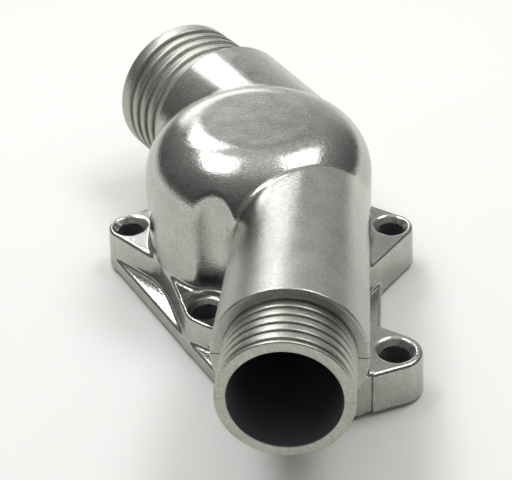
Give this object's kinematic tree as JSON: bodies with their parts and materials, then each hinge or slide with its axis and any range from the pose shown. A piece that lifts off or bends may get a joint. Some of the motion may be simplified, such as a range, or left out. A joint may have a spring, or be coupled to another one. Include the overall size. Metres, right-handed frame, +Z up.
{
  "type": "coolant thermostat housing",
  "caption": "One-piece cast aluminium coolant thermostat housing: domed chamber on a bolted flange, with a ribbed front hose neck and a larger ribbed rear hose neck.",
  "frame": {"origin": "chamber axis at the flange's sealing face", "axes": "+Z up along the chamber axis, away from the sealing face; the front hose neck points along -Y and rises a little"},
  "size_m": [0.0926, 0.1719, 0.051],
  "materials": {
    "cast_aluminium": "satin, tumbled casting"
  },
  "bodies": {
    "root": {"housing": "cast_aluminium"}
  },
  "joints": []
}
